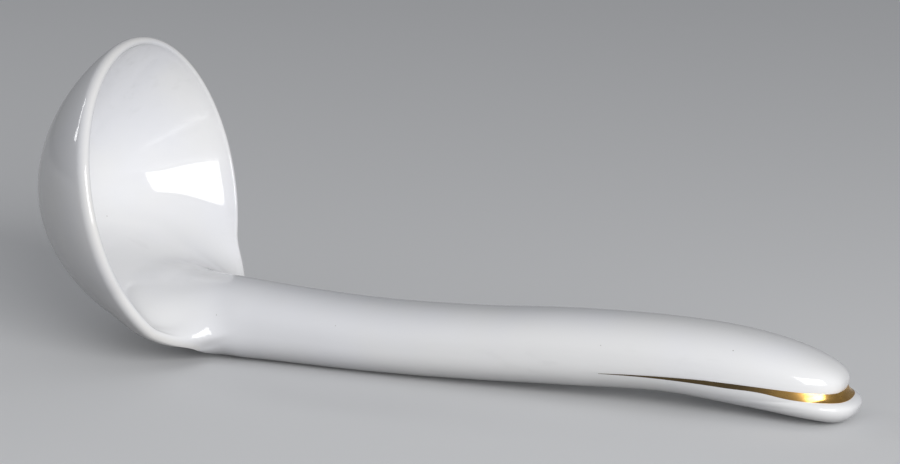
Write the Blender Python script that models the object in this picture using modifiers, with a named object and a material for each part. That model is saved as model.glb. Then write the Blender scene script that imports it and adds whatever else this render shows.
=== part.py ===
"""Porcelain gravy ladle, lying on its handle.

X runs along the handle from the bowl to the tip, Z is up, and the table is Z = 0.
Shapes are worked out from the centre of the bowl's rim, and one empty then moves
the whole ladle so that its origin is under the middle of its length.
"""

import math

import bmesh
import bpy
import numpy as np

# Bowl
BOWL_RADIUS = 0.0305
BOWL_DEPTH = 0.0248
BOWL_WALL = 0.0030
MOUTH_TILT = math.radians(11.6)
WALL_FLARE_POWER = 1.29
WALL_ROUND_POWER = 1.95

# Handle
HANDLE_REACH = 0.1410
HANDLE_WIDTH = 0.0190
HANDLE_THICKNESS = 0.0138
HANDLE_WALL = 0.0028
ROOT_WIDTH = 0.0240
ROOT_THICKNESS = 0.0152
ROOT_SWELL = 0.0110
HEEL_DROP = 0.0022
HEEL_LENGTH = 0.0080
HEEL_RISE = 0.0070
HEEL_END_SHARE = 0.97
REST_WIDTH = 0.0055
ARCH_RISE = 0.0022
ARCH_START = 0.0400
ARCH_END_SETBACK = 0.0060
ARCH_SKEW_POWER = 1.5
OVAL_POWER = 2.3

# Nose of the handle and the tongue under it
NOSE_SETBACK = 0.0028
NOSE_LENGTH = 0.0270
NOSE_ROUND_POWER = 2.2
NOSE_BULGE_SHARE = 0.25
NOSE_TURN = math.radians(81)
TONGUE_LENGTH = 0.0620
TONGUE_EDGE = 0.0035
TONGUE_SCARF = 0.0120
SCARF_SHARE = 0.25
TONGUE_UNDERCUT = 0.0050
TIP_LENGTH = 0.0210
TIP_ROUND_POWER = 2.8
LEDGE_WIDTH = 0.0015
LEDGE_DROP = 0.0010
LEDGE_LENGTH = 0.0500
LEDGE_GROWTH_POWER = 1.5

# Joints and gilding
SLIP = 0.0005
SLIP_SETBACK = 0.0012
CLEARANCE = 0.0003
GILT_THICKNESS = 0.0003
GILT_LENGTH = 0.0400
GILT_OUTER_SHARE = 0.1
GILT_INNER_SHARE = 0.7

# Mesh
WELD = 0.00001
SHARP_ANGLE = math.radians(40)
TURN_STEPS = 64
WALL_POINTS = 14
LIP_POINTS = 8
SECTION_POINTS = 25
ROOT_STATIONS = 13
PLAIN_STATIONS = 14
OVER_STATIONS = 10
NOSE_STATIONS = 9
HOLLOW_STATIONS = 18
OUTLINE_POINTS = 16
UNDERSIDE_POINTS = 6

COLLECTION = "gravy_ladle"
SIN_TILT = math.sin(MOUTH_TILT)
COS_TILT = math.cos(MOUTH_TILT)
RIM_HEIGHT = HEEL_DROP + BOWL_RADIUS * COS_TILT
RIM_FOOT = BOWL_RADIUS * SIN_TILT
LIP_RADIUS = BOWL_WALL / 2
JOINT_GAP = SLIP + 2 * CLEARANCE
NOSE_END = HANDLE_REACH - NOSE_SETBACK
NOSE_START = NOSE_END - NOSE_LENGTH
TONGUE_START = HANDLE_REACH - TONGUE_LENGTH
TIP_START = HANDLE_REACH - TIP_LENGTH


def clear_scene():
    for thing in list(bpy.data.objects):
        bpy.data.objects.remove(thing, do_unlink=True)


def new_collection(name):
    collection = bpy.data.collections.new(name)
    bpy.context.scene.collection.children.link(collection)
    return collection


def material(name, colour, roughness, metallic=0.0):
    made = bpy.data.materials.new(name)
    made.use_nodes = True
    shader = made.node_tree.nodes["Principled BSDF"]
    shader.inputs["Base Color"].default_value = (*colour, 1.0)
    shader.inputs["Roughness"].default_value = roughness
    shader.inputs["Metallic"].default_value = metallic
    return made


# Surfaces along the handle, each a function of the distance x from the rim's centre


def ramp(x, start, length):
    """Smooth step from 0 at start to 1 at start + length."""
    t = np.clip((x - start) / length, 0.0, 1.0)
    return t * t * (3 - 2 * t)


def rounded(x, start, end, power):
    """1 up to start, then the quarter of a superellipse down to 0 at end."""
    t = np.clip((x - start) / (end - start), 0.0, 1.0)
    return (1 - t**power) ** (1 / power)


def swell(x):
    """1 at the rim, fading along the handle."""
    return math.exp(-max(x - RIM_FOOT, 0.0) / ROOT_SWELL)


def arch(x):
    """Height of the handle's underside over the table."""
    span = HANDLE_REACH - ARCH_END_SETBACK - ARCH_START
    t = np.clip((x - ARCH_START) / span, 0.0, 1.0) ** ARCH_SKEW_POWER
    return ARCH_RISE * math.sin(math.pi * t) ** 2


def thickness(x):
    return HANDLE_THICKNESS + (ROOT_THICKNESS - HANDLE_THICKNESS) * swell(x)


def ledge_growth(x):
    """0 where the crease starts, 1 at the tip."""
    return np.clip((x - HANDLE_REACH + LEDGE_LENGTH) / LEDGE_LENGTH, 0.0, 1.0) ** LEDGE_GROWTH_POWER


def tongue_edge(x):
    """Height of the tongue's outer edge."""
    share = SCARF_SHARE + (1 - SCARF_SHARE) * ramp(x, TONGUE_START, TONGUE_SCARF)
    return arch(x) + TONGUE_EDGE * share


def tongue_top(x):
    """Height of the tongue's bed, at the crease under the handle."""
    return tongue_edge(x) + LEDGE_DROP * ledge_growth(x)


def heel_share(x):
    """1 up to the rim, then the quarter of an ellipse towards the end of the heel."""
    t = np.clip((RIM_FOOT - x) / HEEL_LENGTH, 0.0, HEEL_END_SHARE)
    return math.sqrt(1 - t * t)


def heel(x):
    """Rise of the underside where the handle's heel runs up behind the bowl."""
    return HEEL_RISE * (1 - heel_share(x))


def body_floor(x):
    """Height of the flat under the handle: the table side, or the bed of the tongue."""
    if x >= TONGUE_START:
        return tongue_top(x) + JOINT_GAP
    return arch(x) + heel(x)


def body_levels(x):
    """Top, widest height and floor of the handle's section."""
    floor = body_floor(x)
    nose = rounded(x, NOSE_START, NOSE_END, NOSE_ROUND_POWER)
    top = arch(x) + thickness(x)
    middle = max(arch(x) + thickness(x) / 2, floor + NOSE_BULGE_SHARE * (top - floor))
    return floor + (top - floor) * nose, floor + (middle - floor) * nose, floor


def oval_share(drop):
    """Half-width of the oval at a drop below its widest height, as a share of the widest."""
    return (1 - np.clip(drop, 0.0, 1.0) ** OVAL_POWER) ** (1 / OVAL_POWER)


def side_half_width(x):
    """Half-width of the handle's widest line, before the tip rounds off."""
    return heel_share(x) * (HANDLE_WIDTH + (ROOT_WIDTH - HANDLE_WIDTH) * swell(x)) / 2


def crease_half_width(x):
    """Half-width of the handle at its floor over the tongue, before the tip rounds off."""
    top, middle, floor = body_levels(min(x, NOSE_START))
    return side_half_width(x) * oval_share((middle - floor) / (top - middle))


def tongue_outline(count):
    """Stations along the tongue's outer edge: x, half-width and outward direction in plan."""
    straight = np.linspace(TONGUE_START, TIP_START, count, endpoint=False)
    turn = np.linspace(0.0, math.pi / 2, count)
    x = np.concatenate([straight, TIP_START + TIP_LENGTH * np.sin(turn) ** (2 / TIP_ROUND_POWER)])
    side = np.array([crease_half_width(value) + LEDGE_WIDTH * ledge_growth(value) for value in x])
    half = side * rounded(x, TIP_START, HANDLE_REACH, TIP_ROUND_POWER)
    run_x = np.gradient(x)
    run_x[-1] = 0.0
    run_y = np.gradient(half)
    length = np.hypot(run_x, run_y)
    return x, half, -run_y / length, run_x / length


# Mesh tools


def add_object(name, mesh, collection, look=None):
    thing = bpy.data.objects.new(name, mesh)
    collection.objects.link(thing)
    if look:
        mesh.materials.append(look)
    return thing


def loft(name, rings, collection, look=None, pinched=False):
    """Closed solid through rings of points, capped at both ends or pinched flat at the last."""
    build = bmesh.new()
    rows = [[build.verts.new(point) for point in ring] for ring in rings]
    for row, following in zip(rows, rows[1:]):
        for i in range(len(row)):
            j = (i + 1) % len(row)
            build.faces.new((row[i], row[j], following[j], following[i]))
    build.faces.new(rows[0])
    if not pinched:
        build.faces.new(rows[-1])
    bmesh.ops.triangulate(build, faces=[face for face in build.faces if len(face.verts) > 4])
    bmesh.ops.remove_doubles(build, verts=build.verts, dist=WELD)
    bmesh.ops.recalc_face_normals(build, faces=build.faces)
    mesh = bpy.data.meshes.new(name)
    build.to_mesh(mesh)
    build.free()
    mesh.shade_smooth()
    mesh.set_sharp_from_angle(angle=SHARP_ANGLE)
    return add_object(name, mesh, collection, look)


def turned(name, profile, collection, look=None):
    """Profile of (radius, height) points turned about the bowl's axis and set at its tilt."""
    mesh = bpy.data.meshes.new(name)
    points = [(radius, 0.0, height) for radius, height in profile]
    mesh.from_pydata(points, [(i, i + 1) for i in range(len(points) - 1)], [])
    thing = add_object(name, mesh, collection, look)
    screw = thing.modifiers.new("turn", "SCREW")
    screw.steps = TURN_STEPS
    screw.render_steps = TURN_STEPS
    screw.use_merge_vertices = True
    screw.merge_threshold = WELD
    screw.use_smooth_shade = True
    thing.rotation_euler = (0.0, math.pi / 2 - MOUTH_TILT, 0.0)
    thing.location = (0.0, 0.0, RIM_HEIGHT)
    return thing


def as_cutter(thing):
    thing.hide_render = True
    thing.display_type = "WIRE"
    return thing


def boolean(thing, cutter, operation):
    step = thing.modifiers.new(f"{operation.lower()}_{cutter.name}", "BOOLEAN")
    step.operation = operation
    step.object = cutter


# Profiles of the bowl, as arrays of (radius, height along the axis)


def wall_line(inset):
    """Outer wall from the rim to the pole, moved inwards by inset."""
    turn = np.linspace(0.0, math.pi / 2, WALL_POINTS + 1)
    radius = BOWL_RADIUS * np.cos(turn) ** (2 / WALL_ROUND_POWER)
    height = -BOWL_DEPTH * np.sin(turn) ** (2 / WALL_FLARE_POWER)
    run_r = np.gradient(radius, turn)
    run_h = np.gradient(height, turn)
    run_r[0] = 0.0
    run_h[-1] = 0.0
    length = np.hypot(run_r, run_h)
    line = np.stack([radius + run_h / length * inset, height - run_r / length * inset], axis=1)
    line[-1, 0] = 0.0
    return line


def lip_arc(radius, start, end):
    """Arc about the centre of the lip, by angle from the outward direction."""
    angle = np.linspace(start, end, LIP_POINTS)
    across = BOWL_RADIUS - LIP_RADIUS + radius * np.cos(angle)
    return np.stack([across, radius * np.sin(angle)], axis=1)


def bowl_profile():
    inner = wall_line(BOWL_WALL)[:0:-1]
    lip = lip_arc(LIP_RADIUS, math.pi, 0.0)
    return np.concatenate([inner, lip, wall_line(0.0)[1:]])


def filled_bowl_profile(growth):
    """Bowl with its mouth filled level with the lip, grown all round."""
    lip = lip_arc(LIP_RADIUS + growth, math.pi / 2, 0.0)
    return np.concatenate([[(0.0, LIP_RADIUS + growth)], lip, wall_line(-growth)[1:]])


def hollow_profile(clearance):
    """Inside of the bowl up to the crest of the lip, shrunk by a clearance."""
    radius = LIP_RADIUS + clearance
    lip = lip_arc(radius, math.pi - math.asin(LIP_RADIUS / radius), math.pi)
    return np.concatenate([[(0.0, LIP_RADIUS)], lip, wall_line(BOWL_WALL + clearance)[1:]])


# Sections of the handle


def body_ring(x, inset=0.0):
    """Part of an oval over a flat floor, with every side moved in by inset."""
    top, middle, floor = body_levels(x)
    half = side_half_width(x) * rounded(x, NOSE_END - TIP_LENGTH, NOSE_END, TIP_ROUND_POWER)
    half_height = max(top - middle, WELD)
    flat = (REST_WIDTH / 2 / side_half_width(x)) ** OVAL_POWER
    drop = min((middle - floor) / half_height, (1 - flat) ** (1 / OVAL_POWER))
    start = -math.asin(drop ** (OVAL_POWER / 2))
    angle = np.linspace(start, math.pi - start, SECTION_POINTS)
    cosine, sine = np.cos(angle), np.sin(angle)
    across = np.sign(cosine) * np.abs(cosine) ** (2 / OVAL_POWER)
    up = np.sign(sine) * np.abs(sine) ** (2 / OVAL_POWER)
    up = np.where(up < 0, up / drop * (middle - floor - inset), up * (half_height - inset))
    return np.stack([np.full_like(up, x), across * (half - inset), middle + up], axis=1)


def crease_outline(count):
    """Plan of the crease: the tongue's outline moved in by the ledge."""
    x, half, out_x, out_y = tongue_outline(count)
    ledge = np.array([LEDGE_WIDTH * ledge_growth(value) for value in x])
    return x - out_x * ledge, half - out_y * ledge


# Pieces


def make_bowl(collection, look):
    return turned("bowl", bowl_profile(), collection, look)


def root_stations():
    return np.linspace(RIM_FOOT - HEEL_LENGTH, RIM_FOOT + HEEL_LENGTH, ROOT_STATIONS)


def handle_stations():
    plain = np.linspace(RIM_FOOT + HEEL_LENGTH, TONGUE_START, PLAIN_STATIONS)[1:-1]
    rebate = [TONGUE_START - CLEARANCE, TONGUE_START]
    over = np.linspace(TONGUE_START, NOSE_START, OVER_STATIONS)[1:-1]
    turn = np.linspace(0.0, NOSE_TURN, NOSE_STATIONS)
    nose = NOSE_START + NOSE_LENGTH * np.sin(turn)
    return np.concatenate([root_stations(), plain, rebate, over, nose])


def body_rings():
    return [body_ring(x) for x in handle_stations()]


def make_handle(collection, cutters, look):
    handle = loft("handle", body_rings(), collection, look)
    bed = turned("handle_seat", filled_bowl_profile(JOINT_GAP), cutters)
    boolean(handle, as_cutter(bed), "DIFFERENCE")
    hollow = loft("handle_hollow", hollow_rings(), cutters)
    boolean(handle, as_cutter(hollow), "DIFFERENCE")
    return handle


def hollow_rings():
    """Drained inside of the handle, from within the bowl's lip to the start of the nose."""
    stations = np.linspace(RIM_FOOT - HEEL_LENGTH / 2, NOSE_START, HOLLOW_STATIONS)
    return [body_ring(x, inset=HANDLE_WALL) for x in stations]


def root_ring(x):
    """Section of the handle's root, carried straight on through the mouth of the bowl."""
    ring = body_ring(RIM_FOOT)
    ring[:, 0] = x
    return ring


def make_root_web(collection, cutters, look):
    """Web that fills the bowl behind the handle's root, up to the crest of the lip."""
    ends = (-BOWL_DEPTH, RIM_FOOT + BOWL_WALL)
    web = loft("root_web", [root_ring(x) for x in ends], collection, look)
    inside = turned("bowl_inside", hollow_profile(CLEARANCE), cutters)
    boolean(web, as_cutter(inside), "INTERSECT")
    return web


def make_root_slip(collection, cutters, look):
    """Bed of slip between the handle's root and the lip, web and back of the bowl."""
    slip = loft("root_slip", body_rings()[:ROOT_STATIONS], collection, look)
    outside = turned("slip_outside", filled_bowl_profile(CLEARANCE + SLIP), cutters)
    boolean(slip, as_cutter(outside), "INTERSECT")
    inside = turned("slip_inside", filled_bowl_profile(CLEARANCE), cutters)
    boolean(slip, as_cutter(inside), "DIFFERENCE")
    boolean(slip, bpy.data.objects["handle_hollow"], "DIFFERENCE")
    return slip


def tongue_rings():
    """Flat bed, sloping ledge, edge and rounded underside, at stations along the outline."""
    x, half, out_x, out_y = tongue_outline(OUTLINE_POINTS)
    crease_x, crease_half = crease_outline(OUTLINE_POINTS)
    turn = np.linspace(0.0, math.pi / 2, UNDERSIDE_POINTS)
    rings = []
    for i in range(len(x)):
        low, edge = arch(x[i]), tongue_edge(x[i])
        inset = TONGUE_UNDERCUT * (1 - np.cos(turn))
        along = np.append(crease_x[i], x[i] - out_x[i] * inset)
        across = np.append(crease_half[i], half[i] - out_y[i] * inset)
        up = np.append(tongue_top(x[i]), edge - (edge - low) * np.sin(turn))
        right = np.stack([along, across, up], axis=1)
        left = right[::-1] * (1, -1, 1)
        rings.append(np.concatenate([right, left]))
    return rings


def make_end_tongue(collection, look):
    return loft("end_tongue", tongue_rings(), collection, look, pinched=True)


def make_tongue_slip(collection, look):
    """Bed of slip between the tongue and the handle, kept back from the crease."""
    crease_x, crease_half = crease_outline(OUTLINE_POINTS)
    rings = []
    for x in np.linspace(TONGUE_START + SLIP_SETBACK, NOSE_END - SLIP_SETBACK, OUTLINE_POINTS):
        half = np.interp(x, crease_x, crease_half) - SLIP_SETBACK
        low = tongue_top(x) + CLEARANCE
        corners = ((half, low), (half, low + SLIP), (-half, low + SLIP), (-half, low))
        rings.append([(x, across, up) for across, up in corners])
    return loft("tongue_slip", rings, collection, look)


def make_gilt_band(collection, look):
    """Thin strip on the ledge, from one side of the handle round the tip to the other."""
    x, half, out_x, out_y = tongue_outline(OUTLINE_POINTS)
    keep = x > HANDLE_REACH - GILT_LENGTH
    x, half, out_x, out_y = (values[keep] for values in (x, half, out_x, out_y))
    x = np.concatenate([x, x[-2::-1]])
    half = np.concatenate([half, -half[-2::-1]])
    out_x = np.concatenate([out_x, out_x[-2::-1]])
    out_y = np.concatenate([out_y, -out_y[-2::-1]])
    outer, inner = GILT_OUTER_SHARE, GILT_INNER_SHARE
    corners = ((outer, 0), (outer, 1), (inner, 1), (inner, 0))
    rings = []
    for i in range(len(x)):
        ledge = LEDGE_WIDTH * ledge_growth(x[i])
        base = tongue_edge(x[i]) + CLEARANCE
        rise = tongue_top(x[i]) - tongue_edge(x[i])
        ring = []
        for share, lift in corners:
            inset = share * ledge
            up = base + share * rise + lift * GILT_THICKNESS
            ring.append((x[i] - out_x[i] * inset, half[i] - out_y[i] * inset, up))
        rings.append(ring)
    return loft("gilt_band", rings, collection, look)


def centre_on_length(parts, cutters):
    """Hang every piece on one empty, moved so that the origin is under the middle of the length."""
    wall = wall_line(0.0)
    back = (wall[:, 0] * SIN_TILT - wall[:, 1] * COS_TILT).max()
    empty = bpy.data.objects.new("ladle_origin", None)
    empty.location = ((back - HANDLE_REACH) / 2, 0.0, 0.0)
    parts.objects.link(empty)
    for thing in list(parts.objects) + list(cutters.objects):
        if thing is not empty:
            thing.parent = empty


def build():
    clear_scene()
    parts = new_collection(COLLECTION)
    cutters = new_collection("cutters")
    porcelain = material("white_porcelain", (0.86, 0.86, 0.86), 0.12)
    slip = material("fired_slip", (0.80, 0.79, 0.76), 0.55)
    gold = material("fired_gold", (0.72, 0.52, 0.22), 0.25, metallic=1.0)
    make_bowl(parts, porcelain)
    make_handle(parts, cutters, porcelain)
    make_root_web(parts, cutters, porcelain)
    make_root_slip(parts, cutters, slip)
    make_end_tongue(parts, porcelain)
    make_tongue_slip(parts, slip)
    make_gilt_band(parts, gold)
    centre_on_length(parts, cutters)


build()
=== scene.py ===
"""Looks of a white porcelain gravy ladle with a gilt line round its tip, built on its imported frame."""

import math

import bpy
import mathutils
import numpy as np
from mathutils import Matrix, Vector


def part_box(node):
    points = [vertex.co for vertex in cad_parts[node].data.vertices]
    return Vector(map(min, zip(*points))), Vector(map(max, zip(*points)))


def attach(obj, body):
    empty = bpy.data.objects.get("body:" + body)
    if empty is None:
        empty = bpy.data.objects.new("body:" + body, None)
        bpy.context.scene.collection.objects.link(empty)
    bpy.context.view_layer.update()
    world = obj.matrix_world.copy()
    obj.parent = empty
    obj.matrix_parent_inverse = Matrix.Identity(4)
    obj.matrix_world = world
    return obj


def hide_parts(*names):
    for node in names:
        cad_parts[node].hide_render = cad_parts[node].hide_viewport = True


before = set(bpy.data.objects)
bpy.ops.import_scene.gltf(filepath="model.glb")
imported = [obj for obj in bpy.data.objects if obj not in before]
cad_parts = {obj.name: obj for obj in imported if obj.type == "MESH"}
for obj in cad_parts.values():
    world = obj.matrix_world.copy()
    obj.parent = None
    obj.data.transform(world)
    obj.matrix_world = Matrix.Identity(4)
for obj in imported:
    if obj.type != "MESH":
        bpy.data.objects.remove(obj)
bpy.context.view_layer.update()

# The root, where the handle runs into the bowl. Both are porcelain: the cast handle is luted to the
# turned bowl with slip and sponged round before firing, so no seam shows under the glaze. The two
# skins lie on one melted surface here, and each sinks under the other beyond the joint.
MM = 0.001
BOWL_LOW, BOWL_HIGH = (np.array(corner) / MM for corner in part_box("bowl"))
RIM_RADIUS = (BOWL_HIGH[1] - BOWL_LOW[1]) / 2
CAD_LIP = 1.5
MOUTH_TILT = math.radians(11.6)
MOUTH_AXIS = np.array([math.cos(MOUTH_TILT), 0, math.sin(MOUTH_TILT)])
MOUTH_UP = np.array([-math.sin(MOUTH_TILT), 0, math.cos(MOUTH_TILT)])
RIM_X = BOWL_HIGH[0] - (RIM_RADIUS - CAD_LIP) * math.sin(MOUTH_TILT) - CAD_LIP
RIM_Z = BOWL_LOW[2] + (RIM_RADIUS - CAD_LIP) * math.cos(MOUTH_TILT) + CAD_LIP
RIM_CENTRE = np.array([RIM_X, 0, RIM_Z])
BOWL_DEPTH = 24.8
FLARE_POWER = 1.29
ROUND_POWER = 1.95
LIP_WALL = 1.95
WELL_WALL = 3.0
THICKENING_FROM, THICKENING_TO = 0.1, 0.75
LIP_TURN = 0.11
WALL_POINTS = 36


def eased(value, start, end):
    """Smooth step 3s^2 - 2s^3 of s, the share of the way from start to end."""
    share = np.clip((value - start) / (end - start), 0, 1)
    return share * share * (3 - 2 * share)


def wall_line(turn, share):
    """Half profile of the bowl: outside r = R cos(t)^(2/round), h = -D sin(t)^(2/flare), moved in by
    a share of the wall, which thickens from the lip down."""
    wall = LIP_WALL + (WELL_WALL - LIP_WALL) * eased(turn, THICKENING_FROM, THICKENING_TO)
    radius = RIM_RADIUS * np.cos(turn) ** (2 / ROUND_POWER) - share * wall * np.cos(turn)
    height = share * wall * np.sin(turn) - BOWL_DEPTH * np.sin(turn) ** (2 / FLARE_POWER)
    return np.stack([radius, height], -1)


wall_turn = np.linspace(LIP_TURN, math.pi / 2, WALL_POINTS)
wall_middle = wall_line(wall_turn, 0.5)
wall_half = np.linalg.norm(wall_line(wall_turn, 0) - wall_line(wall_turn, 1), axis=-1) / 2


def round_mouth(points):
    """Radius from the mouth's axis and height along it."""
    offset = points - RIM_CENTRE
    height = offset @ MOUTH_AXIS
    return np.linalg.norm(offset - height[..., None] * MOUTH_AXIS, axis=-1), height


FLARE_OUT, FLARE_FORWARD, FLARE_DEPTH = 2.6, 2.1, 9.0
FLARE_FROM, FLARE_TO = math.radians(60), math.radians(37)
SPUR_OUT, SPUR_FORWARD, SPUR_DEPTH = 0.2, 3.8, 7.0
SPUR_FROM, SPUR_TO = math.radians(40), math.radians(20)
FOOT_TURN = math.radians(32)


def flare(points):
    """Outward and forward shift of the lip where it flows down into the handle, and of the spur that
    it draws out along the handle's lower edge, eased in by the turn from the mouth's foot."""
    height = (points - RIM_CENTRE) @ MOUTH_AXIS
    from_foot = np.arctan2(np.abs(points[..., 1]), -(points - RIM_CENTRE) @ MOUTH_UP)
    share = eased(from_foot, FLARE_FROM, FLARE_TO) * eased(height, -FLARE_DEPTH, 0)
    spur = eased(from_foot, SPUR_FROM, SPUR_TO) * eased(height, -SPUR_DEPTH, 0)
    out = (share * FLARE_OUT + spur * SPUR_OUT) * eased(from_foot, 0, FOOT_TURN)
    return np.stack([out, share * FLARE_FORWARD + spur * SPUR_FORWARD], -1)


def wall_place(points):
    """Radius and height about the mouth's axis, with the flare taken back."""
    return np.stack(round_mouth(points), -1) - flare(points)


def past_middle(points):
    """Radius beyond the middle of the wall, or of the lip in front of it."""
    radius, height = np.moveaxis(wall_place(points), -1, 0)
    return radius - np.interp(height, wall_middle[::-1, 1], wall_middle[::-1, 0])


FREE_FROM, FREE_RATE = -1.5, 1.0


def past_wall(points):
    """Radius beyond the wall's middle, eased off by a square at the mouth and in front of it."""
    ahead = np.maximum(wall_place(points)[..., 1] - FREE_FROM, 0)
    return past_middle(points) - FREE_RATE * ahead ** 2


def bowl_distance(points):
    """Distance from the wall's middle line, less half of the wall there."""
    leg, growth = np.diff(wall_middle, axis=0), np.diff(wall_half)
    arm = wall_place(points)[:, None] - wall_middle[:-1]
    share = np.clip((arm * leg).sum(-1) / (leg * leg).sum(-1), 0, 1)
    reach = np.linalg.norm(arm - share[..., None] * leg, axis=-1)
    return (reach - wall_half[:-1] - share * growth).min(-1)


OVAL_POWER = 2.3
RAMP_POWER, RAMP_FROM, RAMP_TO = 1.6, 14.0, 2.0
HEEL_POWER, HEEL_FROM, HEEL_TO = 1.6, 20.0, 6.0
TOP_AT = np.array([-24, -14, -5, 2, 8, 15, 25, 45, 66, 86, 107, 122, 139])
TOP = np.array([16.3, 16.0, 15.7, 15.6, 15.5, 15.1, 14.4, 13.65, 14.3, 15.7, 16.1, 15.4, 13.9])
WIDE_AT = np.array([-24, -14, -5, 0, 4, 8, 12, 20, 30, 45, 66, 86, 107, 122, 139])
WIDE = np.array([13.0, 12.0, 10.6, 9.4, 8.0, 6.5, 5.8, 6.7, 7.0, 6.85, 7.5, 8.7, 9.1, 8.2, 7.6])
LOW_AT = np.array([-24, -14, -9, -2.3, 2, 6, 11, 18, 25, 45, 56, 66, 86, 107, 122, 134, 139])
LOW = np.array([11.0, 10.2, 9.1, 6.5, 4.5, 2.4, 0.6, 0.06, 0, 0.05, 0.3, 0.7, 1.75, 2.65, 1.4, 0.1, 0])
HALF_AT = np.array([-24, -14, -5, -1, 2, 4, 6, 9, 13, 20, 28, 40, 122, 139])
HALF = np.array([20.0, 21.0, 20.6, 19.3, 17.6, 16.2, 14.7, 12.5, 10.6, 9.75, 9.5, 9.5, 9.6, 9.6])
ROOT_START = -13.0
ROOT_REACH = 5.0
LEAST_OVAL = 1e-6


def through(run, stations, values):
    """Cubic Hermite curve through the stations, with slopes taken from their neighbours."""
    slopes = np.gradient(values, stations)
    left = np.clip(np.searchsorted(stations, run) - 1, 0, len(stations) - 2)
    span = stations[left + 1] - stations[left]
    s = np.clip((run - stations[left]) / span, 0, 1)
    rise = values[left + 1] - values[left]
    bend = s * (1 - s) * span * (slopes[left] * (1 - s) - slopes[left + 1] * s)
    return values[left] + rise * s * s * (3 - 2 * s) + bend


def oval_power(run, above):
    """Power of the oval sections: lower at the root, which draws them towards a tent on top and a
    keel below."""
    ramp = (RAMP_POWER - OVAL_POWER) * eased(run, RAMP_FROM, RAMP_TO)
    heel = (HEEL_POWER - OVAL_POWER) * eased(run, HEEL_FROM, HEEL_TO)
    return OVAL_POWER + np.where(above, ramp, heel)


def handle_distance(points):
    """First-order distance (g - 1) / |grad g| from oval sections whose inner end is rounded, kept
    inside the middle of the bowl's wall."""
    run = points[:, 0] - RIM_X
    wide = through(run, WIDE_AT, WIDE)
    above = points[:, 2] > wide
    rise = np.where(above, through(run, TOP_AT, TOP) - wide, wide - through(run, LOW_AT, LOW))
    half = through(run, HALF_AT, HALF)
    across, up = np.abs(points[:, 1]) / half, np.abs(points[:, 2] - wide) / rise
    power = oval_power(run, above)
    oval = np.maximum((across ** power + up ** power) ** (1 / power), LEAST_OVAL)
    inward = np.maximum(ROOT_START - run, 0) / ROOT_REACH
    whole = np.hypot(oval, inward)
    steep = np.hypot((across / oval) ** (power - 1) / half, (up / oval) ** (power - 1) / rise)
    free = (whole - 1) * whole / np.hypot(steep * oval, inward / ROOT_REACH)
    return np.maximum(free, past_wall(points))


FILLET_CORNER = 9.0
FILLET_HEEL = 5.0
FILLET_WELL = 16.0
WELL_FROM, WELL_TO = 8.0, -10.0
UNDER_FROM, UNDER_TO = -1.0, 1.5
FADE_SHARE, FADE_FROM, FADE_TO = 0.9, -1.0, 0.5
PROBE = 0.01


def melted_distance(points):
    """Smooth union min(a, b) - k h^2 / 4 of both, with h = max(1 - |a - b| / k, 0). The fillet k is
    largest in the well, less in the corner over the handle and least under the heel, and it fades
    beyond the wall."""
    bowl, handle = bowl_distance(points), handle_distance(points)
    in_well = eased(points[:, 0] - RIM_X, WELL_FROM, WELL_TO)
    fillet = FILLET_CORNER + (FILLET_WELL - FILLET_CORNER) * in_well
    fillet = fillet + (FILLET_HEEL - fillet) * eased(past_middle(points), UNDER_FROM, UNDER_TO)
    fillet = fillet * (1 - FADE_SHARE * eased(past_wall(points), FADE_FROM, FADE_TO))
    overlap = np.maximum(1 - np.abs(bowl - handle) / fillet, 0)
    return np.minimum(bowl, handle) - fillet * overlap ** 2 / 4


def melted_slope(points, here):
    """Gradient of the melted distance by small steps along the axes."""
    return np.stack([melted_distance(points + step) - here for step in PROBE * np.eye(3)], -1) / PROBE


MELT_REACH = 26.0
MELT_STEPS, LONGEST_STEP = 4, 1.5
DIP, DIP_WIDTH = 0.05, 0.4
SINK_FROM, SINK_TO = -0.5, -1.4


def melt(grid, own, other):
    """Newton steps on to the melted surface, fading out as points sink under the other skin.
    Gives the moved grid, and for each point the melted normal with its weight."""
    points = grid.reshape(-1, 3)
    near = np.flatnonzero(np.abs(points[:, 0] - RIM_X) < MELT_REACH)
    under = other(points[near])
    near, under = near[np.abs(under) < FILLET_WELL], under[np.abs(under) < FILLET_WELL]
    start = points[near]
    level = own(start) * eased(under, 0, FILLET_HEEL) - DIP * eased(under, DIP_WIDTH, -DIP_WIDTH)
    moved = start.copy()
    for _ in range(MELT_STEPS):
        here = melted_distance(moved)
        slope = melted_slope(moved, here)
        step = np.clip((here - level) / (slope * slope).sum(-1), -LONGEST_STEP, LONGEST_STEP)
        moved -= step[:, None] * slope
    keep = eased(under, SINK_TO, SINK_FROM)
    result = points.copy()
    result[near] = start + keep[:, None] * (moved - start)
    normals, weight = np.zeros_like(points), np.zeros(len(points))
    slope = melted_slope(result[near], melted_distance(result[near]))
    normals[near] = slope / np.linalg.norm(slope, axis=-1, keepdims=True)
    weight[near] = eased(under, FILLET_HEEL, 0) * keep
    return result.reshape(grid.shape), normals.reshape(grid.shape), weight.reshape(grid.shape[:2])


# The bowl: turned porcelain on a slanting axis, thrown thin and deep with a full round lip, and
# dipped in clear glaze. The glaze runs thin over the lip's crest, where the body shows creamy.
LIP_INSIDE = np.array([[28.54, -0.05], [28.58, 0.22], [28.68, 0.53], [29.1, 0.53]])
LIP_OUTSIDE = np.array([[29.1, 0.53], [29.95, 0.53], [30.46, -0.55], [29.98, -1.75]])
LIP_FOOT_TURN, LIP_BACK_TURN = 0.07, 0.182
CREAM_DEPTH = 1.2
CREAM_FROM, CREAM_TO = 28.8, 29.7
WELL_POINTS, LIP_POINTS, BACK_POINTS = 96, 18, 92
BOWL_COLUMNS = 352


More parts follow.
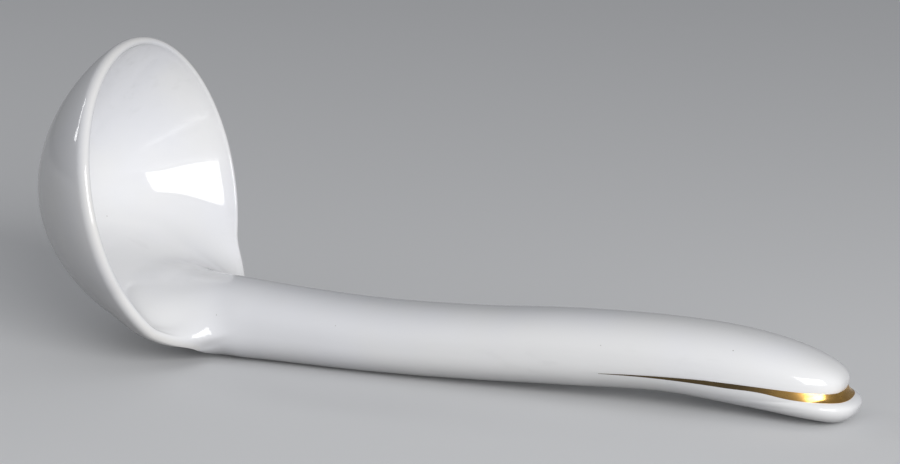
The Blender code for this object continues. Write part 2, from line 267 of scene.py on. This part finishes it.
class Tone:
    """An output of a node in one material. Arithmetic on it adds Math nodes."""

    def __init__(self, tree, out):
        self.tree = tree
        self.out = out

    def node(self, kind, settings, sockets):
        """Adds a node, fills its settings and its sockets, by name or number, and gives its output."""
        added = self.tree.nodes.new(kind)
        for name, value in settings.items():
            setattr(added, name, value)
        for key, value in sockets.items():
            named = [s for s in added.inputs if s.enabled and s.name == key]
            self.fill(named[0] if named else added.inputs[key], value)
        return Tone(self.tree, next(o for o in added.outputs if o.enabled))

    def output(self, name):
        """Another output of the same node."""
        return Tone(self.tree, self.out.node.outputs[name])

    def fill(self, socket, value):
        """Links a tone to a socket, or sets a plain value on it."""
        if isinstance(value, Tone):
            self.tree.links.new(value.out, socket)
        else:
            socket.default_value = value

    def math(self, operation, *values):
        """Adds a Math node on tones and plain values."""
        return self.node("ShaderNodeMath", {"operation": operation}, dict(enumerate(values)))

    def __add__(self, other):
        return self.math("ADD", self, other)

    def __sub__(self, other):
        return self.math("SUBTRACT", self, other)

    def __rsub__(self, other):
        return self.math("SUBTRACT", other, self)

    def __mul__(self, other):
        return self.math("MULTIPLY", self, other)

    __radd__ = __add__
    __rmul__ = __mul__

    def eased(self, start, end):
        """Smooth step from 0 at start to 1 at end."""
        sockets = {"Value": self, "From Min": start, "From Max": end}
        return self.node("ShaderNodeMapRange", {"interpolation_type": "SMOOTHSTEP"}, sockets)

    def noise(self, scale, detail, stretch=(1, 1, 1)):
        """Fractal noise at this tone taken as a place, stretched along its axes."""
        place = self.node("ShaderNodeVectorMath", {"operation": "MULTIPLY"}, {0: self, 1: stretch})
        return self.node("ShaderNodeTexNoise", {}, {"Vector": place, "Scale": scale, "Detail": detail})

    def mix(self, low, high):
        """Colour from low, where this tone is 0, to high, where it is 1."""
        return self.node("ShaderNodeMix", {"data_type": "RGBA"}, {"Factor": self, "A": low, "B": high})


def skin(name, grid, melted):
    """Smooth mesh over rings of points; the first and the last ring are each a single point.
    Melted normals with their weights are laid over the mesh's own ones."""
    rows, columns = grid.shape[:2]
    inner = grid[1:-1].reshape(-1, 3)
    places = np.concatenate([grid[0, :1], inner, grid[-1, :1]])
    ids = 1 + np.arange((rows - 2) * columns).reshape(rows - 2, columns)
    after = np.roll(ids, -1, axis=1)
    quads = np.stack([ids[:-1], after[:-1], after[1:], ids[1:]], -1).reshape(-1, 4)
    first = np.stack([np.zeros_like(ids[0]), after[0], ids[0]], -1)
    last = np.stack([np.full_like(ids[0], len(places) - 1), ids[-1], after[-1]], -1)
    mesh = bpy.data.meshes.new(name)
    mesh.from_pydata(places * MM, [], quads.tolist() + first.tolist() + last.tolist())
    mesh.polygons.foreach_set("use_smooth", np.ones(len(mesh.polygons), bool))
    normals = np.empty(len(places) * 3)
    mesh.vertex_normals.foreach_get("vector", normals)
    normals = normals.reshape(-1, 3)
    melted_normals, weight = melted[0][1:-1].reshape(-1, 3), melted[1][1:-1].reshape(-1, 1)
    normals[1:-1] = weight * melted_normals + (1 - weight) * normals[1:-1]
    mesh.normals_split_custom_set_from_vertices(normals)
    piece = bpy.data.objects.new(name, mesh)
    bpy.context.collection.objects.link(piece)
    return piece


COOL_WHITE = (0.795, 0.80, 0.83, 1)
WARM_WHITE = (0.81, 0.81, 0.815, 1)
DRIFT_SCALE, DRIFT_RANGE = 38, (0.35, 0.65)
CREAM, CREAM_SHARE = (0.80, 0.765, 0.70, 1), 0.3
SCUFF_GREY, SCUFF_SHARE, SCUFF_ROUGHNESS = (0.50, 0.50, 0.49, 1), 0.14, 0.12
SCUFF_SCALE, SCUFF_STRETCH, SCUFF_RANGE = 420, (0.35, 1, 1), (0.52, 0.72)
PATCH_SCALE, PATCH_RANGE = 55, (0.56, 0.70)
PINHOLE_BROWN, PINHOLE_SHARE, PINHOLE_ROUGHNESS = (0.16, 0.13, 0.10, 1), 0.8, 0.3
PINHOLE_SCALE, PINHOLE_EDGE, PINHOLE_PICK = 520, (0.03, 0.075), (0.955, 0.96)
PINHOLE_PIT = 0.15
GLAZE_ROUGHNESS, CLOUD_ROUGHNESS, CLOUD_SCALE = 0.045, 0.05, 90
SWELL_SCALE, RIPPLE_SCALE, RIPPLE_SHARE = 48, 150, 0.12
WAVE_STRENGTH, WAVE_HEIGHT = 0.5, 0.0003
GLAZE_IOR = 1.5


def glaze(name):
    """Clear gloss glaze on white porcelain: cool and warm whites drift into each other, cream where
    the glaze is thin, with grey scuffs, a few pinholes and the slow waves of a dipped coat."""
    material = bpy.data.materials.new(name)
    material.use_nodes = True
    tree = material.node_tree
    shader = tree.nodes["Principled BSDF"]
    place = Tone(tree, tree.nodes.new("ShaderNodeTexCoord").outputs["Object"])
    thin = place.node("ShaderNodeAttribute", {"attribute_name": "thin"}, {}).output("Fac")
    drift = place.noise(DRIFT_SCALE, detail=2).eased(*DRIFT_RANGE)
    patch = place.noise(PATCH_SCALE, detail=2).eased(*PATCH_RANGE)
    scuff = patch * place.noise(SCUFF_SCALE, detail=4, stretch=SCUFF_STRETCH).eased(*SCUFF_RANGE)
    cell = place.node("ShaderNodeTexVoronoi", {}, {"Vector": place, "Scale": PINHOLE_SCALE})
    pick = place.node("ShaderNodeSeparateColor", {}, {"Color": cell.output("Color")})
    pinhole = (1 - cell.eased(*PINHOLE_EDGE)) * pick.eased(*PINHOLE_PICK)
    colour = drift.mix(COOL_WHITE, WARM_WHITE)
    colour = (thin * CREAM_SHARE).mix(colour, CREAM)
    colour = (scuff * SCUFF_SHARE).mix(colour, SCUFF_GREY)
    colour = (pinhole * PINHOLE_SHARE).mix(colour, PINHOLE_BROWN)
    roughness = GLAZE_ROUGHNESS + place.noise(CLOUD_SCALE, detail=3) * CLOUD_ROUGHNESS
    roughness = roughness + scuff * SCUFF_ROUGHNESS + pinhole * PINHOLE_ROUGHNESS
    waves = place.noise(SWELL_SCALE, detail=1) + place.noise(RIPPLE_SCALE, detail=1) * RIPPLE_SHARE
    waves = waves - pinhole * PINHOLE_PIT
    bump = {"Strength": WAVE_STRENGTH, "Distance": WAVE_HEIGHT, "Height": waves}
    place.fill(shader.inputs["Base Color"], colour)
    place.fill(shader.inputs["Roughness"], roughness)
    place.fill(shader.inputs["Normal"], place.node("ShaderNodeBump", {}, bump))
    shader.inputs["IOR"].default_value = GLAZE_IOR
    return material


def curve(share, points):
    """Bezier curve: every point slides a share of the way to the next, until one point is left."""
    while len(points) > 1:
        points = points[:-1] * (1 - share) + points[1:] * share
    return points[0]


# A profile of well, lip and back is turned round the mouth's axis, flared and melted.
lip_share = np.linspace(0, 1, LIP_POINTS)[:, None]
well = wall_line(np.linspace(math.pi / 2, LIP_FOOT_TURN, WELL_POINTS), 1)
inside, crest = (curve(lip_share, points[:, None]) for points in (LIP_INSIDE, LIP_OUTSIDE))
back = wall_line(np.linspace(LIP_BACK_TURN, math.pi / 2, BACK_POINTS)[1:], 0)
profile = np.concatenate([well, inside, crest[1:], back])
profile[[0, -1], 0] = 0
round_turn = np.linspace(0, 2 * math.pi, BOWL_COLUMNS, endpoint=False)
ring = np.cos(round_turn)[:, None] * MOUTH_UP + np.sin(round_turn)[:, None] * np.array([0, 1, 0])
bowl_grid = RIM_CENTRE + profile[:, None, :1] * ring + profile[:, None, 1:] * MOUTH_AXIS
lip_shift = flare(bowl_grid)
bowl_grid = bowl_grid + lip_shift[..., :1] * ring + lip_shift[..., 1:] * MOUTH_AXIS
bowl_grid, *bowl_melted = melt(bowl_grid, bowl_distance, handle_distance)
bowl = skin("bowl_skin", bowl_grid, bowl_melted)
thin_lip = eased(profile[1:-1, 1], -CREAM_DEPTH, LIP_OUTSIDE[0, 1])
thin_lip = thin_lip * eased(profile[1:-1, 0], CREAM_FROM, CREAM_TO) * np.ones((BOWL_COLUMNS, 1))
thin_glaze = bowl.data.attributes.new("thin", "FLOAT", "POINT")
thin_glaze.data.foreach_set("value", np.concatenate([[0], thin_lip.T.ravel(), [0]]))
bowl.data.materials.append(glaze("bowl_glaze_look"))
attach(bowl, "root")
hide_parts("bowl")

# The handle: a hollow slip-cast porcelain body, oval in section, slightly arched and swelling
# towards a blunt domed nose. It runs up into the bowl as a ramp, and its underside is cut back
# over the last third to take the tongue; the cut shows as a fine dark crease.
TONGUE_START = 72.0
NOSE_END = 139.2
NOSE_LENGTH = 28.0
NOSE_POWER = 2.2
NOSE_PLAN_POWER = 2.9
CREASE_AT = np.array([72, 90.5, 107.8, 114.9, 127, 138.2])
CREASE = np.array([5.3, 6.5, 7.5, 7.7, 7.3, 6.3])
UNDERCUT = 0.5
UNDERCUT_FALL = 0.5
UNDERCUT_FROM, UNDERCUT_TO = 91.0, 106.0
FINE_STEP, FINE_TO, COARSE_STEP = 0.4, 24.0, 1.0
ROOT_POINTS, NOSE_POINTS = 36, 64
HANDLE_COLUMNS = 176

nose_start = NOSE_END - NOSE_LENGTH


def nose_share(run, power):
    """Share of the section left on the way to the nose: (1 - s^p)^(1/p)."""
    share = np.clip((run - nose_start) / NOSE_LENGTH, 0, 1)
    return np.clip(1 - share ** power, 0, 1) ** (1 / power)


# Sections |y / half|^p + |z / rise|^p = 1 follow the run, and close at the root and the nose.
root_run = ROOT_START - ROOT_REACH * np.sin(np.linspace(math.pi / 2, 0, ROOT_POINTS))
fine_run = np.arange(ROOT_START + FINE_STEP, FINE_TO, FINE_STEP)
coarse_run = np.arange(FINE_TO, nose_start, COARSE_STEP)
nose_turn = np.linspace(0, math.pi / 2, NOSE_POINTS)
nose_run = nose_start + NOSE_LENGTH * np.sin(nose_turn) ** (2 / NOSE_POWER)
handle_run = np.concatenate([root_run, fine_run, coarse_run, nose_run])[:, None]
root_share = np.sqrt(np.clip(1 - (np.maximum(ROOT_START - handle_run, 0) / ROOT_REACH) ** 2, 0, 1))
around = np.linspace(0, 2 * math.pi, HANDLE_COLUMNS, endpoint=False)
section_power = oval_power(handle_run, np.sin(around) > 0)
side = np.sign(np.cos(around)) * np.abs(np.cos(around)) ** (2 / section_power)
lift = np.sign(np.sin(around)) * np.abs(np.sin(around)) ** (2 / section_power)
top, low = through(handle_run, TOP_AT, TOP), through(handle_run, LOW_AT, LOW)
wide = through(handle_run, WIDE_AT, WIDE)
y = through(handle_run, HALF_AT, HALF) * root_share * nose_share(handle_run, NOSE_PLAN_POWER) * side
rise = np.where(lift > 0, top - wide, wide - low)
z = wide + rise * root_share * nose_share(handle_run, NOSE_POWER) * lift
cut_top = through(handle_run, CREASE_AT, CREASE)
cut = UNDERCUT * eased(z, cut_top, cut_top - UNDERCUT_FALL) * eased(handle_run, UNDERCUT_FROM, UNDERCUT_TO)
y = y * (1 - cut / HALF[-1])
x = handle_run - cut * np.maximum(handle_run - nose_start, 0) / NOSE_LENGTH
handle_grid = np.stack([RIM_X + x, y, z], -1)
mouth_radius, mouth_height = round_mouth(handle_grid)
radial = handle_grid - RIM_CENTRE - mouth_height[..., None] * MOUTH_AXIS
handle_grid = handle_grid - radial * (np.maximum(past_wall(handle_grid), 0) / mouth_radius)[..., None]
handle_grid, *handle_melted = melt(handle_grid, handle_distance, bowl_distance)
handle = skin("handle_skin", handle_grid, handle_melted)
handle.data.materials.append(glaze("handle_glaze_look"))
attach(handle, "root")
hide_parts("handle", "root_web", "root_slip")

# The tongue: a porcelain leaf luted under the end of the handle. It starts flush with the oval's
# lower flank and grows towards the tip into a cove and a rounded lip that stands out past the nose.
GROWTH_FROM = 110.0
GROWTH_POWER = 2.2
FLAT_HALF = 2.75
LIP_REACH = 2.7
UNDER_REACH = 5.5
COVE = np.array([[LIP_REACH, 1.0], [2.2, 0.8], [1.4, 0.75]])
SHOULDER = np.array([[1.4, 0.75], [0.15, 0.68], [0.0, 0.55]])
COVE_SHARE, SHOULDER_SHARE = 0.4, 0.65
FLUSH_FROM, FLUSH_TO = 86.0, 98.0
START_DEPTH = 0.12
PROUD = 0.03
HIDDEN_INSET, HIDDEN_RISE = 1.2, 0.15
SEARCH_POINTS, EDGE_POINTS, TIP_POINTS, FLANK_POINTS = 400, 100, 96, 44
LEAF_SHARP = math.radians(40)


def flank_drop(run):
    """Drop from the oval's widest line to its lowest, which closes towards the nose."""
    return (through(run, WIDE_AT, WIDE) - through(run, LOW_AT, LOW)) * nose_share(run, NOSE_POWER)


def mirrored(half):
    """Values along the near edge, carried round the tip and back along the far edge."""
    return np.concatenate([half, half[..., -2::-1]], axis=-1)


def sheet(name, rows, closed, sharp):
    """Mesh over rows of points that run round a leaf; each end row is closed across the leaf by
    quads from its near half to its far half, or, for a closed tube, the rows meet round it."""
    count, columns = rows.shape[:2]
    ids = np.arange(count * columns).reshape(count, columns)
    if closed:
        loop = np.concatenate([ids, ids[:1]])
        here, ahead = loop[:, :-1], loop[:, 1:]
        ends = [ids[::-1, 0].tolist(), ids[:, -1].tolist()]
    else:
        here, ahead = ids, np.roll(ids, -1, axis=1)
        half = columns // 2
        near, far = ids[:, :half + 1], ids[:, :half - 1:-1]
        strips = np.stack([near[:, :-1], near[:, 1:], far[:, 1:], far[:, :-1]], -1)
        ends = strips[0, :-1].tolist() + [strips[0, -1, [0, 1, 3]].tolist()]
        ends += strips[-1, :-1, ::-1].tolist() + [strips[-1, -1, [3, 1, 0]].tolist()]
    quads = np.stack([here[:-1], here[1:], ahead[1:], ahead[:-1]], -1).reshape(-1, 4)
    mesh = bpy.data.meshes.new(name)
    mesh.from_pydata(rows.reshape(-1, 3) * MM, [], quads.tolist() + ends)
    mesh.polygons.foreach_set("use_smooth", np.ones(len(mesh.polygons), bool))
    mesh.set_sharp_from_angle(angle=sharp)
    piece = bpy.data.objects.new(name, mesh)
    bpy.context.collection.objects.link(piece)
    return piece


# The leaf's edge follows the crease on the handle's flank, round the tip and back.
search_run = np.linspace(nose_start + NOSE_LENGTH / 2, NOSE_END, SEARCH_POINTS)[:-1]
search_drop = through(search_run, WIDE_AT, WIDE) - through(search_run, CREASE_AT, CREASE)
crease_reach = np.interp(1, search_drop / flank_drop(search_run), search_run) - nose_start
tip_turn = np.linspace(0, math.pi / 2, TIP_POINTS)
edge_run = np.concatenate([np.linspace(TONGUE_START, nose_start, EDGE_POINTS, endpoint=False),
                           nose_start + crease_reach * np.sin(tip_turn) ** (2 / NOSE_POWER)])
leaf_half = through(edge_run, HALF_AT, HALF) * nose_share(edge_run, NOSE_PLAN_POWER)
leaf_wide, leaf_low = through(edge_run, WIDE_AT, WIDE), through(edge_run, LOW_AT, LOW)
leaf_drop = flank_drop(edge_run)
leaf_top = through(edge_run, CREASE_AT, CREASE)
crease_turn = np.arcsin(np.clip((leaf_wide - leaf_top) / leaf_drop, 0, 1) ** (OVAL_POWER / 2))
crease_turn[-1] = math.pi / 2
flat_turn = np.arccos(np.minimum(FLAT_HALF / leaf_half, 1) ** (OVAL_POWER / 2))
flat_turn = np.maximum(flat_turn, crease_turn)
crease_y = leaf_half * np.cos(crease_turn) ** (2 / OVAL_POWER)
crease_y[-1] = 0
edge = np.stack([mirrored(edge_run), np.concatenate([-crease_y, crease_y[-2::-1]])], -1)
heading = np.gradient(edge, axis=0)
heading /= np.linalg.norm(heading, axis=-1, keepdims=True)
outward = np.stack([heading[:, 1], -heading[:, 0]], -1)

# Down from the edge, the oval's flank gives way to cove, shoulder and underside as the lip grows.
down = np.linspace(0, 1, FLANK_POINTS)[:, None]
flank_turn = crease_turn + down * (flat_turn - crease_turn)
flank_out = leaf_half * np.cos(flank_turn) ** (2 / OVAL_POWER) - crease_y
flank_z = leaf_wide - leaf_drop * np.sin(flank_turn) ** (2 / OVAL_POWER)
cove = curve(down / COVE_SHARE, COVE[:, None])
shoulder = curve((down - COVE_SHARE) / (SHOULDER_SHARE - COVE_SHARE), SHOULDER[:, None])
under_turn = np.clip((down - SHOULDER_SHARE) / (1 - SHOULDER_SHARE), 0, 1) * math.pi / 2
under = np.hstack([UNDER_REACH * (1 - np.cos(under_turn)), SHOULDER[-1, 1] * (1 - np.sin(under_turn))])
lip_line = np.where(down <= COVE_SHARE, cove, shoulder)
lip_line = np.where(down <= SHOULDER_SHARE, lip_line, under)
lip_out = LIP_REACH - lip_line[:, :1]
lip_z = leaf_low + lip_line[:, 1:] * (leaf_top - leaf_low)
growth = np.clip((edge_run - GROWTH_FROM) / (edge_run[-1] - GROWTH_FROM), 0, 1) ** GROWTH_POWER
flush = -START_DEPTH + (START_DEPTH + PROUD) * eased(edge_run, FLUSH_FROM, FLUSH_TO)
leaf_out = flush + flank_out + growth * (lip_out - flank_out)
leaf_z = flank_z + growth * (lip_z - flank_z)
leaf_out = np.concatenate([leaf_out[:1] - HIDDEN_INSET, leaf_out])
leaf_z = np.concatenate([leaf_z[:1] + HIDDEN_RISE, leaf_z])
leaf_plan = edge + mirrored(leaf_out)[..., None] * outward
leaf_grid = np.concatenate([leaf_plan + np.array([RIM_X, 0]), mirrored(leaf_z)[..., None]], -1)
tongue = sheet("tongue_skin", leaf_grid, False, LEAF_SHARP)
tongue.data.materials.append(glaze("tongue_glaze_look"))
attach(tongue, "root")
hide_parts("end_tongue", "tongue_slip")

# The gilt line: bright gold brushed by hand into the cove between the handle and the tongue, fired on
# and burnished. Along both sides it starts as a thin hairline darkened nearly to black, for dulled thin
# gilt and for painted shade of the crease it lies in; it is widest and brightest round the tip.
GILT_THICKNESS = 0.05
GILT_AT = np.array([94, 102, 108, 112, 118.5, 126, 131, 138])
GILT_SHARE = np.array([0.01, 0.09, 0.17, 0.22, 0.28, 0.34, 0.66, 1.0])
GILT_ROWS = 12
GILT_SHARP = math.radians(60)
GOLD_LIGHT = (0.82, 0.49, 0.14, 1)
GOLD_DEEP = (0.50, 0.28, 0.08, 1)
# Near-black tone over the thin ends: dulled gilt, and painted shade of the crease
GOLD_DULL_AND_SHADE, DULL_AND_SHADE_SHARE = (0.07, 0.06, 0.04, 1), 0.9
DULL_AND_SHADE_FROM, DULL_AND_SHADE_TO = 121.0, 138.0
STREAK_SCALE, STREAK_STRETCH, STREAK_RANGE = 900, (0.25, 0.6, 1), (0.35, 0.65)
WORN_SCALE, WORN_RANGE = 700, (0.60, 0.72)
STREAK_SHARE, WORN_SHARE = 0.7, 0.3
GOLD_ROUGHNESS, STREAK_ROUGHNESS, WORN_ROUGHNESS = 0.2, 0.14, 0.2


def burnished_gold(name):
    """Fired gold: brush streaks and worn spots run from light to deep. The thin ends are darkened,
    for dulled gilt and painted shade of the crease.
    """
    material = bpy.data.materials.new(name)
    material.use_nodes = True
    tree = material.node_tree
    shader = tree.nodes["Principled BSDF"]
    place = Tone(tree, tree.nodes.new("ShaderNodeTexCoord").outputs["Object"])
    dull_and_shade = place.node("ShaderNodeAttribute", {"attribute_name": "dull_and_shade"}, {}).output("Fac")
    streak = place.noise(STREAK_SCALE, detail=3, stretch=STREAK_STRETCH).eased(*STREAK_RANGE)
    worn = place.noise(WORN_SCALE, detail=3).eased(*WORN_RANGE)
    colour = (streak * STREAK_SHARE + worn * WORN_SHARE).mix(GOLD_LIGHT, GOLD_DEEP)
    # Painted shade of the crease, with dulled thin gilt, darkens the gold towards its thin ends
    colour = (dull_and_shade * DULL_AND_SHADE_SHARE).mix(colour, GOLD_DULL_AND_SHADE)
    roughness = GOLD_ROUGHNESS + streak * STREAK_ROUGHNESS + worn * WORN_ROUGHNESS
    place.fill(shader.inputs["Base Color"], colour)
    place.fill(shader.inputs["Roughness"], roughness)
    shader.inputs["Metallic"].default_value = 1.0
    return material


# Rows of the leaf's cove, as deep as the gilt is there, are lifted and sunk by its thickness.
gilt_start = np.searchsorted(edge_run, GILT_AT[0])
gilt_columns = np.arange(gilt_start, leaf_grid.shape[1] - gilt_start)
leaf_normal = np.cross(np.gradient(leaf_grid[1:], axis=0), np.gradient(leaf_grid[1:], axis=1))
leaf_normal /= np.linalg.norm(leaf_normal, axis=-1, keepdims=True)
gilt_depth = mirrored(COVE_SHARE * through(edge_run, GILT_AT, GILT_SHARE))[gilt_columns]
leaf_row = np.linspace(0, 1, GILT_ROWS)[:, None] * gilt_depth * (FLANK_POINTS - 1)
row_above = np.floor(leaf_row).astype(int)
row_part = (leaf_row - row_above)[..., None]


def on_leaf(grid):
    """Values of the leaf's grid at the gilt's rows, in proportion between two rows of the leaf."""
    return grid[row_above, gilt_columns] * (1 - row_part) + grid[row_above + 1, gilt_columns] * row_part


gilt_middle, gilt_lift = on_leaf(leaf_grid[1:]), GILT_THICKNESS * on_leaf(leaf_normal)
gilt_grid = np.concatenate([gilt_middle + gilt_lift, (gilt_middle - gilt_lift)[::-1]])
gilt = sheet("gilt_skin", gilt_grid, True, GILT_SHARP)
# Mask of painted crease shade and dulled gilt: 1 along the thin ends, 0 round the tip
rubbed_and_shaded = eased(mirrored(edge_run)[gilt_columns], DULL_AND_SHADE_TO, DULL_AND_SHADE_FROM)
dull_and_shaded_gold = gilt.data.attributes.new("dull_and_shade", "FLOAT", "POINT")
dull_and_shaded_gold.data.foreach_set("value", np.tile(rubbed_and_shaded, 2 * GILT_ROWS))
gilt.data.materials.append(burnished_gold("gilt_look"))
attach(gilt, "root")
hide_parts("gilt_band")

# The floor: a plain pale sheet that runs on past the picture. It looks pale to the camera and in
# reflections, and sends little light back on to the ladle's shaded side.
FLOOR_HALF = 3.0
FLOOR_DROP = 0.00002
FLOOR_SEEN = (0.82, 0.825, 0.835, 1)
FLOOR_BOUNCE = (0.20, 0.20, 0.20, 1)
FLOOR_ROUGHNESS = 0.9
FLOOR_SPECULAR = 0.1


def pale_paper(name):
    """Matt paper with one colour for what looks at it and a darker one for the light it sends back."""
    material = bpy.data.materials.new(name)
    material.use_nodes = True
    tree = material.node_tree
    shader = tree.nodes["Principled BSDF"]
    camera_ray = Tone(tree, tree.nodes.new("ShaderNodeLightPath").outputs["Is Camera Ray"])
    seen = camera_ray + camera_ray.output("Is Glossy Ray") + camera_ray.output("Is Transmission Ray")
    seen.fill(shader.inputs["Base Color"], seen.mix(FLOOR_BOUNCE, FLOOR_SEEN))
    shader.inputs["Roughness"].default_value = FLOOR_ROUGHNESS
    shader.inputs["Specular IOR Level"].default_value = FLOOR_SPECULAR
    return material


floor_mesh = bpy.data.meshes.new("floor")
corners = FLOOR_HALF * np.array([[-1, -1], [1, -1], [1, 1], [-1, 1]])
floor_mesh.from_pydata(np.column_stack([corners, np.full(4, -FLOOR_DROP)]), [], [[0, 1, 2, 3]])
floor = bpy.data.objects.new("floor", floor_mesh)
bpy.context.collection.objects.link(floor)
floor_mesh.materials.append(pale_paper("floor_look"))

# The light: a large soft box to the right of the camera, a weak strip on the far left for the streak
# on the bowl's outside, and an even grey surround.
AIM_HEIGHT = 0.03
AIM = np.array([RIM_X * MM, 0.0, AIM_HEIGHT])
SURROUND = (0.245, 0.25, 0.26, 1)


def soft_box(name, azimuth, elevation, roll, distance, width, height, power):
    """Area lamp facing the bowl from an azimuth, 0 towards -Y and 90 towards +X, and an elevation."""
    lamp = bpy.data.lights.new(name, "AREA")
    lamp.shape = "RECTANGLE"
    lamp.size, lamp.size_y, lamp.energy = width, height, power
    holder = bpy.data.objects.new(name, lamp)
    turn, rise = math.radians(azimuth), math.radians(elevation)
    away = np.array([math.sin(turn) * math.cos(rise), -math.cos(turn) * math.cos(rise), math.sin(rise)])
    holder.location = AIM + distance * away
    facing = mathutils.Euler((math.pi / 2 - rise, 0, turn)).to_matrix()
    holder.rotation_euler = (facing @ mathutils.Matrix.Rotation(math.radians(roll), 3, "Z")).to_euler()
    bpy.context.collection.objects.link(holder)


soft_box("key", azimuth=47, elevation=16, roll=4, distance=0.85, width=0.52, height=0.50, power=6.3)
soft_box("strip", azimuth=-88, elevation=27, roll=0, distance=0.7, width=0.06, height=0.36, power=0.45)
world = bpy.data.worlds.new("surround")
world.use_nodes = True
world.node_tree.nodes["Background"].inputs["Color"].default_value = SURROUND
bpy.context.scene.world = world
bpy.context.scene.view_settings.view_transform = "Standard"

# The camera: a long lens from the right front, a little above the handle. Its place and turn come
# from a fit of the ladle's outline to the photograph.
CAMERA_AZIMUTH = math.radians(22.144)
CAMERA_ELEVATION = math.radians(13.480)
CAMERA_PLACE = (0.212168, -0.514456, 0.161750)
LENS_LENGTH = 120
SENSOR_WIDTH = 36

camera_data = bpy.data.cameras.new("camera")
camera_data.lens = LENS_LENGTH
camera_data.sensor_width = SENSOR_WIDTH
camera = bpy.data.objects.new("camera", camera_data)
camera.location = CAMERA_PLACE
camera.rotation_euler = (math.pi / 2 - CAMERA_ELEVATION, 0, CAMERA_AZIMUTH)
bpy.context.collection.objects.link(camera)
bpy.context.scene.camera = camera
